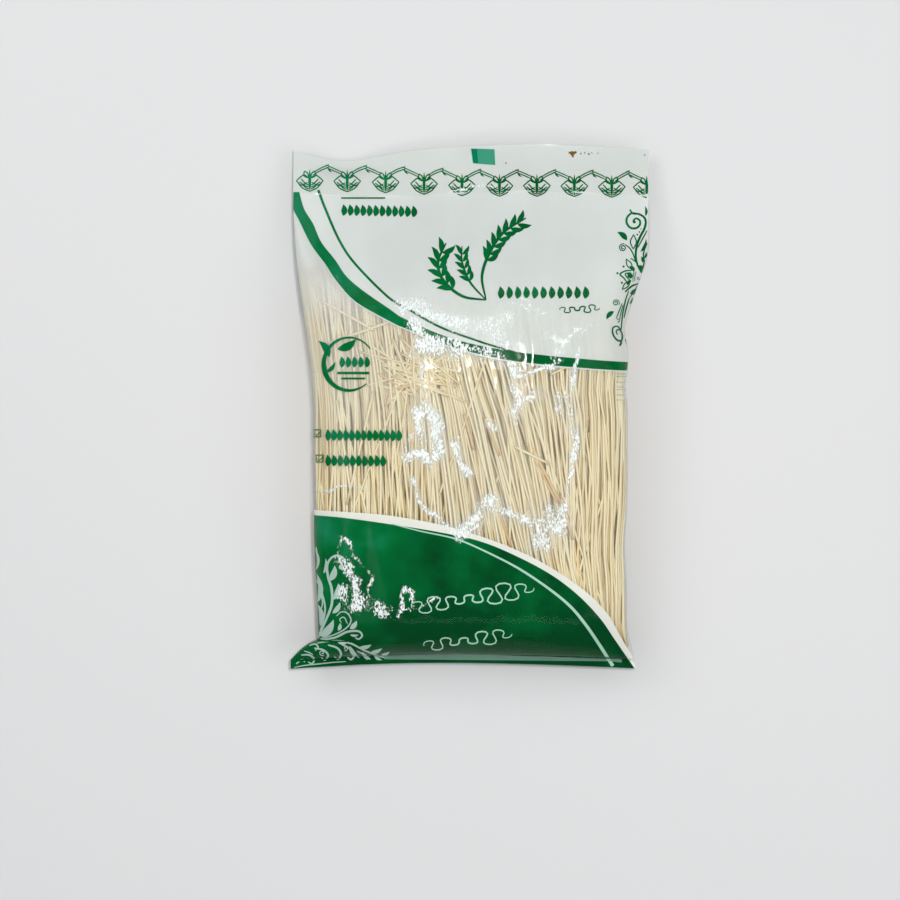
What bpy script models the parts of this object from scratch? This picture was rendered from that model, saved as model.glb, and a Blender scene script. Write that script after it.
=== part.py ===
"""A sealed clear bag of straight dried rice vermicelli, lying on its back with the front up.

The bag is one solid: closed rings carried from the free edge of its top seal to the free edge of
its bottom seal. X runs across the bag, +Y towards the top seal and +Z out of the front. It rests
on the flat of its back, with the origin under the middle of its box.
"""

import bmesh
import bpy
import numpy as np

# Driving dimensions, in metres. A place along the bag is its distance from the top seal's free edge.
LENGTH = 0.2515
FLAT_WIDTH = 0.170
LEFT_FILLED = 0.0752
RIGHT_FILLED = 0.0748
FRONT_RISE = 0.025
BACK_DROP = 0.0185
SEAL_LEVEL = 0.017
FILM_THICKNESS = 0.0008

# Where the bag changes along its length.
TOP_SEAL_END = 0.022
NOODLES_FULL = 0.092
LEFT_TAPER = (0.0275, 0.1305)
RIGHT_TAPER = (0.0435, 0.0855)
ROUNDING_START = 0.2155
BOTTOM_SEAL_START = 0.246

# The corners of the bottom seal stick out like ears: the left one is larger and flares out at once,
# from a side that narrows a little towards it.
LEFT_EAR = 0.0136
RIGHT_EAR = 0.0048
LEFT_EAR_START = 0.236
LEFT_EAR_POWER = 0.6
RIGHT_EAR_START = 0.2265
LEFT_NARROWING = 0.0019
LEFT_NARROWS = (0.180, 0.236)

# The seals droop towards the surface below, and their free edges wave.
TOP_DROOP = 0.010
TOP_DROOP_LENGTH = 0.080
BOTTOM_DROOP = 0.004
BOTTOM_DROOP_LENGTH = 0.030
EDGE_WAVE = 0.0014
EDGE_WAVE_LENGTH = 0.147
EDGE_WAVE_PEAK = 0.0275
BOTTOM_ARCH = 0.0028

# Near its left corner the top seal bends back, so its free edge drops and looks shorter.
BEND_SHORTENING = 0.0051
BEND_DROP = 0.0045
BEND_MIDDLE = -0.0613
BEND_HALF_WIDTH = 0.0217
BEND_LENGTH = 0.017

# The front is a pillow: highest at the middle of the noodles, lower towards both of their ends.
FRONT_CROWN = 0.0034
CROWN_PLACE = 0.142
CROWN_REACH = 0.072

# Roundness of the section: 2 is an ellipse, more is squarer. It blends into the seals' own
# roundness, and the rise and the end have powers that round the bag along its length.
FRONT_POWER = 2.5
BACK_POWER = 3.6
SEAL_POWER = 6.0
END_POWER = 2.3
RISE_POWER = 1.2
SEAL_BLEND_POWER = 8

# Low relief: ridges where the sticks press on the film, and puckers that run out of the seals.
RIDGE_HEIGHT = 0.0003
RIDGE_PITCH = 0.0185
RIDGE_DRIFT = 0.012
PUCKER_HEIGHT = 0.0010
PUCKER_PITCH = 0.031
PUCKER_REACH = 0.022
END_PUCKER_SHARE = 0.7

# Pinches in the right edge: the place, depth and reach of each.
SIDE_PINCHES = ((0.087, 0.0016, 0.007), (0.1145, 0.0012, 0.007), (0.1905, 0.0012, 0.014))

RING_POINTS = 72
FILM_GREEN_WHITE = (0.70, 0.77, 0.72, 1.0)
FILM_ROUGHNESS = 0.22


def eased(start, end, place):
    """0 before start, 1 after end, and an S curve between them."""
    part = np.clip((place - start) / (end - start), 0.0, 1.0)
    return part * part * (3.0 - 2.0 * part)


def edges(place):
    """The left and right edge of the bag, as X, at a place along it."""
    flat = FLAT_WIDTH / 2
    left = flat + (LEFT_FILLED - flat) * eased(*LEFT_TAPER, place)
    left -= LEFT_NARROWING * eased(*LEFT_NARROWS, place)
    flare = (place - LEFT_EAR_START) / (BOTTOM_SEAL_START - LEFT_EAR_START)
    left += LEFT_EAR * np.clip(flare, 0.0, 1.0) ** LEFT_EAR_POWER
    right = flat + (RIGHT_FILLED - flat) * eased(*RIGHT_TAPER, place)
    right += RIGHT_EAR * eased(RIGHT_EAR_START, LENGTH, place)
    for middle, depth, reach in SIDE_PINCHES:
        right -= depth * np.exp(-(((place - middle) / reach) ** 2))
    return -left, right


def fullness(place):
    """How thick the bag is, from 0 at the seals to 1 where the noodles fill it: a sine rise behind
    the top seal, and a squarish rounding before the bottom seal."""
    rise = np.clip((place - TOP_SEAL_END) / (NOODLES_FULL - TOP_SEAL_END), 0.0, 1.0)
    run = np.clip((place - ROUNDING_START) / (BOTTOM_SEAL_START - ROUNDING_START), 0.0, 1.0)
    return np.sin(rise * np.pi / 2) ** RISE_POWER * (1.0 - run**END_POWER) ** (1.0 / END_POWER)


def front_reach(place):
    """How far the front stands out of the bag's widest line."""
    crown = FRONT_CROWN * ((place - CROWN_PLACE) / CROWN_REACH) ** 2
    return FILM_THICKNESS / 2 + (FRONT_RISE - crown) * fullness(place)


def seal_level(place):
    """Height of the bag's widest line, which droops towards each seal."""
    top = TOP_DROOP * (1.0 - eased(0.0, TOP_DROOP_LENGTH, place))
    bottom = BOTTOM_DROOP * eased(LENGTH - BOTTOM_DROOP_LENGTH, LENGTH, place)
    return SEAL_LEVEL - top - bottom


def relief(across, place):
    """Height added to the front: long ridges over the noodles, and puckers beside the seals."""
    drift = RIDGE_DRIFT * np.sin(place * np.pi / LENGTH)
    ridges = RIDGE_HEIGHT * np.sin(2 * np.pi * (across + drift) / RIDGE_PITCH)
    behind_top = np.exp(-(((place - TOP_SEAL_END - PUCKER_REACH) / PUCKER_REACH) ** 2))
    before_end = np.exp(-(((place - ROUNDING_START) / PUCKER_REACH) ** 2))
    puckers = PUCKER_HEIGHT * np.sin(2 * np.pi * across / PUCKER_PITCH)
    return ridges * fullness(place) + puckers * (behind_top - END_PUCKER_SHARE * before_end)


def seal_bend(across, place):
    """How far the top seal is bent back: a bell across the bag, from 1 at the free edge to 0."""
    bell = np.exp(-(((across - BEND_MIDDLE) / BEND_HALF_WIDTH) ** 2))
    return bell * (1.0 - eased(0.0, BEND_LENGTH, place))


def ring(place):
    """One closed section of the bag: a squarish ellipse, lower behind than in front, cut flat where
    it rests. Its points start at the right edge and go over the front to the left edge."""
    turn = np.arange(RING_POINTS) * 2 * np.pi / RING_POINTS
    front = turn <= np.pi
    full = fullness(place)
    power = np.where(front, FRONT_POWER, BACK_POWER)
    power = power + (SEAL_POWER - power) * (1.0 - full) ** SEAL_BLEND_POWER
    side = np.cos(turn)
    lift = (1.0 - np.abs(side) ** power) ** (1.0 / power)
    left, right = edges(place)
    x = (left + right) / 2 + side * (right - left) / 2
    back_reach = FILM_THICKNESS / 2 + BACK_DROP * full
    z = seal_level(place) + np.where(front, front_reach(place), -back_reach) * lift
    z = z + np.where(front, relief(x, place) * lift * (full > 0), 0.0)
    seals = 1.0 - full
    z = z + EDGE_WAVE * np.sin(2 * np.pi * x / EDGE_WAVE_LENGTH) * seals**2
    bend = seal_bend(x, place)
    z = z - BEND_DROP * bend
    arch = BOTTOM_ARCH * (1.0 - side**2) * eased(LENGTH - BOTTOM_DROOP_LENGTH, LENGTH, place)
    fade = 1.0 - eased(0.0, NOODLES_FULL, place)
    wave = EDGE_WAVE * np.cos(2 * np.pi * (x - EDGE_WAVE_PEAK) / EDGE_WAVE_LENGTH) * fade
    y = LENGTH / 2 - place + arch + wave - BEND_SHORTENING * bend
    return np.stack([x, y, np.maximum(z, 0.0)], axis=1)


def places():
    """Where the rings stand, closer together where the bag changes fast."""
    seal = np.linspace(0.0, TOP_SEAL_END, 9)
    wedge = np.linspace(TOP_SEAL_END, NOODLES_FULL, 15)[1:]
    middle = np.linspace(NOODLES_FULL, ROUNDING_START, 17)[1:]
    rounding = ROUNDING_START + (BOTTOM_SEAL_START - ROUNDING_START) * np.sin(
        np.linspace(0.0, np.pi / 2, 10)[1:]
    )
    end = np.linspace(BOTTOM_SEAL_START, LENGTH, 4)[1:]
    return np.concatenate([seal, wedge, middle, rounding, end])


def close_end(mesh, points):
    """Faces that close an end ring, from its front row straight down to its back row."""
    half = RING_POINTS // 2
    for step in range(half):
        corners = [points[step], points[step + 1], points[-step - 1], points[-step]]
        mesh.faces.new(list(dict.fromkeys(corners)))


def bag_mesh():
    """The rings, joined by faces and closed at both seals, then centred over the floor."""
    mesh = bmesh.new()
    rings = [[mesh.verts.new(point) for point in ring(place)] for place in places()]
    for near, far in zip(rings, rings[1:]):
        for step in range(RING_POINTS):
            after = (step + 1) % RING_POINTS
            mesh.faces.new([near[step], near[after], far[after], far[step]])
    close_end(mesh, rings[0])
    close_end(mesh, rings[-1])
    bmesh.ops.triangulate(mesh, faces=mesh.faces[:])
    bmesh.ops.recalc_face_normals(mesh, faces=mesh.faces[:])
    spots = np.array([vertex.co for vertex in mesh.verts])
    low, high = spots.min(axis=0), spots.max(axis=0)
    middle = [-(low[0] + high[0]) / 2, -(low[1] + high[1]) / 2, -low[2]]
    bmesh.ops.translate(mesh, verts=mesh.verts[:], vec=middle)
    return mesh


def film_material():
    """Thin glossy film over pale contents, as one plain colour."""
    material = bpy.data.materials.new("printed_film")
    material.use_nodes = True
    shader = material.node_tree.nodes["Principled BSDF"]
    shader.inputs["Base Color"].default_value = FILM_GREEN_WHITE
    shader.inputs["Roughness"].default_value = FILM_ROUGHNESS
    shader.inputs["Metallic"].default_value = 0.0
    return material


def make_bag():
    """The bag as one object, named noodle_bag."""
    data = bpy.data.meshes.new("noodle_bag")
    mesh = bag_mesh()
    mesh.to_mesh(data)
    mesh.free()
    data.materials.append(film_material())
    data.shade_smooth()
    bpy.context.scene.collection.objects.link(bpy.data.objects.new("noodle_bag", data))


for leftover in list(bpy.data.objects):
    bpy.data.objects.remove(leftover, do_unlink=True)
make_bag()
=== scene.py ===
# %% [markdown]
# # A clear bag of straight rice vermicelli
# The object is a heat-sealed film bag, printed in white and green round a clear window, and full of
# loose dry sticks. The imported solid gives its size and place. This script dresses it: a thin film
# skin that closes on itself, sheets of ink just under that skin, and real sticks behind both.

import bmesh
import bpy
import numpy as np
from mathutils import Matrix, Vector


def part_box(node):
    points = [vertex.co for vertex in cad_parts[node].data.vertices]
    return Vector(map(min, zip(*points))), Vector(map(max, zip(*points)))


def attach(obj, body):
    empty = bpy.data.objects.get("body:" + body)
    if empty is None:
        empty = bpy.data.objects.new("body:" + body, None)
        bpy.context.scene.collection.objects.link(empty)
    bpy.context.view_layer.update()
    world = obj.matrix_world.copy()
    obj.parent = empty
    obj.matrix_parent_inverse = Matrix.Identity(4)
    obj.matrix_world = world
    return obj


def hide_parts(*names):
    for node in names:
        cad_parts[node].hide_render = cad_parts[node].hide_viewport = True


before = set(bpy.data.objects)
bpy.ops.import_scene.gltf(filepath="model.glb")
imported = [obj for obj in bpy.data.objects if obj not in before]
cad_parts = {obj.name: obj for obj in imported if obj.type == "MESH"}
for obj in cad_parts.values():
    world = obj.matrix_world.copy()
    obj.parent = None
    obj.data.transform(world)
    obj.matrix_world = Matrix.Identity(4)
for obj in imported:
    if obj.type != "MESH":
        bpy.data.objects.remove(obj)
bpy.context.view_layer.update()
low, high = (np.array(corner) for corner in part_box("noodle_bag"))
print("solid bag, in mm:", np.round((high - low) * 1000, 1))

# %% [markdown]
# ## Small tools
# Every piece is a mesh made from whole arrays, and every material is a few nodes that are joined.

# %% Objects and materials
def linked(name, data):
    """A new object with this data, put into the scene."""
    made = bpy.data.objects.new(name, data)
    bpy.context.scene.collection.objects.link(made)
    return made


def new_object(name, points, faces, smooth=True):
    """A mesh object from an array of points and one of faces."""
    mesh = bpy.data.meshes.new(name)
    mesh.vertices.add(len(points))
    mesh.vertices.foreach_set("co", np.ascontiguousarray(points, np.float32).ravel())
    mesh.loops.add(faces.size)
    mesh.loops.foreach_set("vertex_index", faces.astype(np.int32).ravel())
    mesh.polygons.add(len(faces))
    starts = np.arange(0, faces.size, faces.shape[1], dtype=np.int32)
    mesh.polygons.foreach_set("loop_start", starts)
    mesh.update(calc_edges=True)
    mesh.validate()
    if smooth:
        mesh.shade_smooth()
    print(name, "faces:", len(faces))
    return linked(name, mesh)


def new_material(name):
    """A new material with an empty node tree: (material, tree)."""
    material = bpy.data.materials.new(name)
    material.use_nodes = True
    material.node_tree.nodes.clear()
    return material, material.node_tree


def add(tree, kind, inputs, out=0, **settings):
    """A shader node of a kind. An input that is given another node's output is linked to it, and
    any other is set. Gives the wanted output."""
    node = tree.nodes.new("ShaderNode" + kind)
    for key, value in settings.items():
        setattr(node, key, value)
    for key, value in inputs.items():
        if isinstance(value, bpy.types.NodeSocket):
            tree.links.new(value, node.inputs[key])
        else:
            node.inputs[key].default_value = value
    return node.outputs[out]


def colour_ramp(tree, amount, stops):
    """A colour that goes by an amount, through stops of (position, colour)."""
    node = tree.nodes.new("ShaderNodeValToRGB")
    elements = node.color_ramp.elements
    for step, (position, colour) in enumerate(stops):
        stop = elements[step] if step < 2 else elements.new(position)
        stop.position = position
        stop.color = (*colour, 1.0)
    tree.links.new(amount, node.inputs["Fac"])
    return node.outputs["Color"]


def surfaced(material, shader):
    """The material with this shader as its surface."""
    output = material.node_tree.nodes.new("ShaderNodeOutputMaterial")
    material.node_tree.links.new(shader, output.inputs["Surface"])
    return material


def plain_material(name, kind, inputs):
    """A material of one shader with set inputs."""
    material, tree = new_material(name)
    return surfaced(material, add(tree, kind, inputs))


# %% [markdown]
# ## The form of the bag
# A film bag is a tube that is pressed flat at both ends. Its section is a squarish ellipse whose
# width and height change along the bag, so the whole skin is one formula of two parameters: the
# place along the bag, measured from the free edge of the top seal, and the side, from -1 at the left
# edge to 1 at the right edge. The same named sizes made the solid, and they are repeated here.

# %% Driving sizes
LENGTH = 0.2515
FLAT_WIDTH = 0.170
LEFT_FILLED = 0.0752
RIGHT_FILLED = 0.0748
FRONT_RISE = 0.025
BACK_DROP = 0.0185
SEAL_LEVEL = 0.017
FILM_THICKNESS = 0.0008
TOP_SEAL_END = 0.022
NOODLES_FULL = 0.092
LEFT_TAPER = (0.0275, 0.1305)
RIGHT_TAPER = (0.0435, 0.0855)
ROUNDING_START = 0.2155
BOTTOM_SEAL_START = 0.246
LEFT_EAR = 0.0136
RIGHT_EAR = 0.0048
LEFT_EAR_START = 0.236
LEFT_EAR_POWER = 0.6
RIGHT_EAR_START = 0.2265
LEFT_NARROWING = 0.0019
LEFT_NARROWS = (0.180, 0.236)
TOP_DROOP = 0.010
TOP_DROOP_LENGTH = 0.080
BOTTOM_DROOP = 0.004
BOTTOM_DROOP_LENGTH = 0.030
EDGE_WAVE = 0.0014
EDGE_WAVE_LENGTH = 0.147
EDGE_WAVE_PEAK = 0.0275
BOTTOM_ARCH = 0.0028
BEND_SHORTENING = 0.0051
BEND_DROP = 0.0045
BEND_MIDDLE = -0.0613
BEND_HALF_WIDTH = 0.0217
BEND_LENGTH = 0.017
FRONT_CROWN = 0.0034
CROWN_PLACE = 0.142
CROWN_REACH = 0.072
FRONT_POWER = 2.5
BACK_POWER = 3.6
SEAL_POWER = 6.0
END_POWER = 2.3
RISE_POWER = 1.2
SEAL_BLEND_POWER = 8
RIDGE_HEIGHT = 0.0003
RIDGE_PITCH = 0.0185
RIDGE_DRIFT = 0.012
PUCKER_HEIGHT = 0.0010
PUCKER_PITCH = 0.031
PUCKER_REACH = 0.022
END_PUCKER_SHARE = 0.7
SIDE_PINCHES = ((0.087, 0.0016, 0.007), (0.1145, 0.0012, 0.007), (0.1905, 0.0012, 0.014))

# %% Formulas for outline and thickness
def eased(start, end, place):
    """0 before start, 1 after end, and an S curve between them."""
    part = np.clip((place - start) / (end - start), 0.0, 1.0)
    return part * part * (3.0 - 2.0 * part)


def edges(place):
    """The left and right edge of the bag, as X, at a place along it."""
    flat = FLAT_WIDTH / 2
    left = flat + (LEFT_FILLED - flat) * eased(*LEFT_TAPER, place)
    left = left - LEFT_NARROWING * eased(*LEFT_NARROWS, place)
    flare = (place - LEFT_EAR_START) / (BOTTOM_SEAL_START - LEFT_EAR_START)
    left = left + LEFT_EAR * np.clip(flare, 0.0, 1.0) ** LEFT_EAR_POWER
    right = flat + (RIGHT_FILLED - flat) * eased(*RIGHT_TAPER, place)
    right = right + RIGHT_EAR * eased(RIGHT_EAR_START, LENGTH, place)
    for middle, depth, reach in SIDE_PINCHES:
        right = right - depth * np.exp(-(((place - middle) / reach) ** 2))
    return -left, right


def fullness(place):
    """How thick the bag is, from 0 at the seals to 1 where the noodles fill it: a sine rise behind
    the top seal, and a squarish rounding before the bottom seal."""
    rise = np.clip((place - TOP_SEAL_END) / (NOODLES_FULL - TOP_SEAL_END), 0.0, 1.0)
    run = np.clip((place - ROUNDING_START) / (BOTTOM_SEAL_START - ROUNDING_START), 0.0, 1.0)
    return np.sin(rise * np.pi / 2) ** RISE_POWER * (1.0 - run**END_POWER) ** (1.0 / END_POWER)


def front_reach(place):
    """How far the front stands out of the bag's widest line: most at the middle of the noodles."""
    crown = FRONT_CROWN * ((place - CROWN_PLACE) / CROWN_REACH) ** 2
    return FILM_THICKNESS / 2 + (FRONT_RISE - crown) * fullness(place)


def seal_level(place):
    """Height of the bag's widest line, which droops towards each seal."""
    top = TOP_DROOP * (1.0 - eased(0.0, TOP_DROOP_LENGTH, place))
    bottom = BOTTOM_DROOP * eased(LENGTH - BOTTOM_DROOP_LENGTH, LENGTH, place)
    return SEAL_LEVEL - top - bottom


def broad_relief(across, place):
    """Height added to the front: long ridges over the noodles, and puckers beside the seals."""
    drift = RIDGE_DRIFT * np.sin(place * np.pi / LENGTH)
    ridges = RIDGE_HEIGHT * np.sin(2 * np.pi * (across + drift) / RIDGE_PITCH)
    behind_top = np.exp(-(((place - TOP_SEAL_END - PUCKER_REACH) / PUCKER_REACH) ** 2))
    before_end = np.exp(-(((place - ROUNDING_START) / PUCKER_REACH) ** 2))
    puckers = PUCKER_HEIGHT * np.sin(2 * np.pi * across / PUCKER_PITCH)
    return ridges * fullness(place) + puckers * (behind_top - END_PUCKER_SHARE * before_end)


def seal_bend(across, place):
    """How far the top seal is bent back: a bell across the bag, from 1 at the free edge to 0."""
    bell = np.exp(-(((across - BEND_MIDDLE) / BEND_HALF_WIDTH) ** 2))
    return bell * (1.0 - eased(0.0, BEND_LENGTH, place))


def along_bag(across, side, place):
    """Y at a place along the bag: straight down from the top, with a waving top edge and an arched
    bottom edge."""
    arch = BOTTOM_ARCH * (1.0 - side**2) * eased(LENGTH - BOTTOM_DROOP_LENGTH, LENGTH, place)
    fade = 1.0 - eased(0.0, NOODLES_FULL, place)
    wave = EDGE_WAVE * np.cos(2 * np.pi * (across - EDGE_WAVE_PEAK) / EDGE_WAVE_LENGTH) * fade
    return LENGTH / 2 - place + arch + wave - BEND_SHORTENING * seal_bend(across, place)


def skin(side, place, front, inset=0.0):
    """The bag's skin without its fine relief. The section's height is the seal level plus, or on the
    back minus, the reach times (1 - |side|^n)^(1/n). An inset moves it inwards all round."""
    side, place, front = np.broadcast_arrays(side, place, front)
    full = fullness(place)
    power = np.where(front, FRONT_POWER, BACK_POWER)
    power = power + (SEAL_POWER - power) * (1.0 - full) ** SEAL_BLEND_POWER
    lift = (1.0 - np.minimum(np.abs(side), 1.0) ** power) ** (1.0 / power)
    left, right = edges(place)
    x = (left + right) / 2 + side * ((right - left) / 2 - inset)
    reach = np.where(front, front_reach(place), FILM_THICKNESS / 2 + BACK_DROP * full)
    reach = np.maximum(reach - inset, 0.0)
    z = seal_level(place) + np.where(front, reach, -reach) * lift
    z = z + np.where(front, broad_relief(x, place) * lift * (full > 0), 0.0)
    z = z + EDGE_WAVE * np.sin(2 * np.pi * x / EDGE_WAVE_LENGTH) * (1.0 - full) ** 2
    z = z - BEND_DROP * seal_bend(x, place)
    return np.stack([x, along_bag(x, side, place), np.maximum(z, inset)], axis=-1)


def to_frame():
    """The move that brings the formula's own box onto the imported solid's box."""
    side, place = np.meshgrid(np.linspace(-1, 1, 121), np.linspace(0, LENGTH, 240))
    both = np.concatenate([skin(side, place, True), skin(side, place, False)]).reshape(-1, 3)
    middle = (both.min(axis=0) + both.max(axis=0)) / 2
    wanted = (low + high) / 2
    return np.array([wanted[0] - middle[0], wanted[1] - middle[1], low[2] - both[:, 2].min()])


SHIFT = to_frame()
print("formula to frame, in mm:", np.round(SHIFT * 1000, 2))

# %% [markdown]
# ## The camera comes before the print
# The bag lies on its back and the camera looks down on it, as the photograph's camera looked at its
# front. Placing the camera first lets every printed mark be given by its pixel in the photograph: a
# ray through that pixel meets the film where the mark belongs.

# %% Camera
PIXEL = 0.4775e-3
PHOTO_SIDE = 900
MIDDLE_PIXEL = (469.0, 409.5)
CAMERA_DISTANCE = 1.2
CAMERA_TILT = np.radians(4.0)
SENSOR = 0.036

aim = np.array([
    (PHOTO_SIDE / 2 - MIDDLE_PIXEL[0]) * PIXEL,
    (MIDDLE_PIXEL[1] - PHOTO_SIDE / 2) * PIXEL,
    SEAL_LEVEL,
])
backwards = np.array([0.0, np.sin(CAMERA_TILT), np.cos(CAMERA_TILT)])
upwards = np.array([0.0, np.cos(CAMERA_TILT), -np.sin(CAMERA_TILT)])
eye = aim + CAMERA_DISTANCE * backwards

camera_data = bpy.data.cameras.new("camera")
camera_data.sensor_width = SENSOR * 1000
camera_data.lens = SENSOR * 1000 * CAMERA_DISTANCE / (PHOTO_SIDE * PIXEL)
camera_data.clip_start = 0.01
camera_data.clip_end = 20.0
camera = linked("camera", camera_data)
camera.location = eye
camera.rotation_euler = (-CAMERA_TILT, 0.0, 0.0)
bpy.context.scene.camera = camera
print("lens, in mm:", round(camera_data.lens, 1))

# %% [markdown]
# ## Floor and light
# The light is soft: a pale room, two lamps aside and a wide ring above, so smooth film mirrors
# little. A small bright lamp beside the camera makes the hard glints by which one knows thin film.

# %% Floor, lamps and room
FLOOR_SIZE = 6.0
FLOOR_COLOUR = (0.74, 0.74, 0.74, 1.0)
ROOM_COLOUR = (0.93, 0.95, 1.0, 1.0)
ROOM_STRENGTH = 0.26


def make_floor():
    """One large pale square, which the bag lies on."""
    corners = np.array([(-1, -1, 0), (1, -1, 0), (1, 1, 0), (-1, 1, 0)]) * FLOOR_SIZE / 2
    floor = new_object("floor", corners, np.array([[0, 1, 2, 3]]), smooth=False)
    paper = {"Base Color": FLOOR_COLOUR, "Roughness": 0.7}
    floor.data.materials.append(plain_material("floor_paper", "BsdfPrincipled", paper))
    return floor


def area_lamp(name, place, size, power):
    """A square soft lamp at a place, turned to face the origin."""
    data = bpy.data.lights.new(name, "AREA")
    data.shape = "SQUARE"
    data.size = size
    data.energy = power
    lamp = linked(name, data)
    lamp.location = place
    lamp.rotation_euler = (-Vector(place)).to_track_quat("-Z", "Y").to_euler()
    return lamp


def ring_lamp(name, height, radius, width, strength, count=96):
    """A flat glowing ring that faces down: two circles of points joined by faces."""
    turn = np.linspace(0, 2 * np.pi, count + 1)[:-1]
    rim = np.stack([np.cos(turn), np.sin(turn), 0 * turn], axis=1)
    points = np.concatenate([rim * radius, rim * (radius + width)]) + np.array([0.0, 0.0, height])
    step = np.arange(count)
    after = (step + 1) % count
    faces = np.stack([step, after, after + count, step + count], axis=1)
    ring = new_object(name, points, faces, smooth=False)
    ring.data.materials.append(plain_material(name, "Emission", {"Strength": strength}))
    return ring


make_floor()
# Each lamp: its place and size in metres, and its power in watts.
area_lamp("key", (-0.75, 0.55, 0.80), 0.6, 4.5)
area_lamp("fill", (0.85, -0.25, 0.75), 0.6, 2.5)
area_lamp("spark", (0.09, 0.13, 1.24), 0.08, 6.2)
ring_lamp("ring", 0.75, 0.60, 0.30, 1.45)
world = bpy.data.worlds.new("room")
world.use_nodes = True
background = world.node_tree.nodes["Background"]
background.inputs["Color"].default_value = ROOM_COLOUR
background.inputs["Strength"].default_value = ROOM_STRENGTH
bpy.context.scene.world = world
bpy.context.scene.view_settings.view_transform = "Standard"

# %% [markdown]
# ## Fine relief in the film
# Film is crinkled at several scales: it dents between the sticks it lies on, and it has sharp small
# creases where it was handled. Both come from random hills on a lattice, stretched along the bag for
# the dents, and folded at zero for the creases.

# %% Random hills
def hills(x, y, cell_x, cell_y, seed):
    """Smooth random hills from -1 to 1: random heights on a lattice, blended by S curves."""
    heights = np.random.default_rng(seed).uniform(-1.0, 1.0, (256, 256))
    u, v = x / cell_x + 512.0, y / cell_y + 512.0
    column, row = np.floor(u).astype(int), np.floor(v).astype(int)
    a, b = u - column, v - row
    a, b = a * a * (3 - 2 * a), b * b * (3 - 2 * b)
    near = heights[column % 256, row % 256] * (1 - a) + heights[(column + 1) % 256, row % 256] * a
    column, row = column, row + 1
    far = heights[column % 256, row % 256] * (1 - a) + heights[(column + 1) % 256, row % 256] * a
    return near * (1 - b) + far * b


# %% Crinkled paths
# Each row: a path in pixels along which the film is crinkled, and how far it reaches, in pixels.
# The same paths say where white glints are painted on the film and where its veil is painted glare.
CRINKLES = [
    ([(402, 306), (417, 305), (432, 312), (448, 319), (466, 325)], 8.5),
    ([(466, 327), (480, 328), (493, 329), (505, 318)], 9.0), ([(488, 322), (494, 334), (504, 345)], 8.0),
    ([(424, 344), (440, 348), (458, 347)], 9.0), ([(412, 320), (430, 335), (452, 341), (478, 349)], 6.0),
    ([(478, 350), (494, 352), (505, 358)], 6.5), ([(505, 358), (512, 368), (516, 378)], 5.0),
    ([(516, 373), (530, 369), (546, 366), (556, 358)], 2.6),
    ([(545, 332), (553, 338), (560, 345), (553, 354)], 5.0), ([(560, 342), (568, 336), (577, 330)], 3.4),
    ([(513, 384), (517, 392), (513, 410)], 5.0), ([(519, 397), (529, 394), (537, 390)], 4.5),
    ([(556, 396), (558, 404)], 4.5), ([(488, 422), (494, 425)], 3.6),
    ([(411, 354), (421, 358), (423, 376), (426, 394), (430, 406)], 2.2),
    ([(425, 400), (434, 414), (438, 432), (438, 450)], 6.5), ([(418, 406), (421, 424), (424, 440)], 5.5),
    ([(419, 424), (408, 440), (405, 456)], 2.0), ([(406, 453), (418, 450), (428, 458)], 5.0),
    ([(453, 436), (459, 452), (467, 470)], 4.6),
    ([(413, 474), (421, 498), (432, 510), (446, 521), (457, 529)], 2.4),
    ([(460, 530), (471, 521), (481, 504), (490, 500)], 8.5),
    ([(487, 503), (503, 508), (518, 513), (531, 522)], 6.0),
    ([(535, 520), (543, 536), (550, 512), (557, 528)], 12.0), ([(546, 506), (560, 506)], 7.0),
    ([(592, 322), (580, 332), (575, 352)], 1.1), ([(575, 352), (571, 372), (569, 392)], 2.6),
    ([(568, 396), (570, 410), (572, 426)], 6.0), ([(573, 426), (573, 442), (571, 458)], 4.2),
    ([(571, 458), (567, 478), (561, 507)], 2.2),
    ([(342, 533), (350, 540), (355, 551), (364, 561), (374, 573), (369, 587), (372, 596)], 2.6),
    ([(342, 535), (341, 549), (344, 556)], 2.0),
    ([(344, 556), (350, 563), (356, 575), (352, 590), (346, 598)], 6.5),
    ([(345, 588), (350, 599), (362, 603), (374, 604)], 8.0),
    ([(353, 595), (364, 600), (374, 602), (383, 606)], 10.0), ([(378, 598), (386, 609)], 4.0),
    ([(399, 611), (404, 602), (404, 587), (412, 588), (414, 602), (404, 604)], 3.0),
    ([(413, 603), (420, 603), (431, 596), (444, 588)], 1.9),
    ([(317, 491), (332, 487.5), (341, 482), (354, 482), (366, 485)], 1.0),
    ([(449, 193.5), (462, 190.5), (472, 187), (488, 188.5), (500, 190)], 1.3),
    ([(563, 195), (574, 197)], 1.6), ([(520, 296), (530, 305), (546, 312)], 1.7),
    ([(510, 303), (524, 307), (540, 314)], 1.5),
]


def smooth_path(points, count):
    """A curve through the points, evenly sampled by length: Catmull-Rom cubics."""
    knots = np.array(points, float)
    padded = np.concatenate([[2 * knots[0] - knots[1]], knots, [2 * knots[-1] - knots[-2]]])
    t = np.linspace(0, len(knots) - 1, 40 * len(knots))
    i = np.minimum(t.astype(int), len(knots) - 2)
    f = (t - i)[:, None]
    a, b, c, d = (padded[i + k] for k in range(4))
    curve = 0.5 * (2 * b + (c - a) * f + (2 * a - 5 * b + 4 * c - d) * f**2 + (3 * b - a - 3 * c + d) * f**3)
    run = np.concatenate([[0.0], np.cumsum(np.linalg.norm(np.diff(curve, axis=0), axis=1))])
    even = np.linspace(0, run[-1], count)
    return np.stack([np.interp(even, run, curve[:, k]) for k in range(curve.shape[1])], axis=1)


def near_path(x, y, path, reach):
    """1 on a path and 0 well away from it: a bell of the distance to its nearest point."""
    flat_x, flat_y = np.ravel(x), np.ravel(y)
    nearest = np.full(flat_x.shape, np.inf)
    for spot in path:
        nearest = np.minimum(nearest, (flat_x - spot[0]) ** 2 + (flat_y - spot[1]) ** 2)
    return np.exp(-nearest / reach**2).reshape(np.shape(x))


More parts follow.
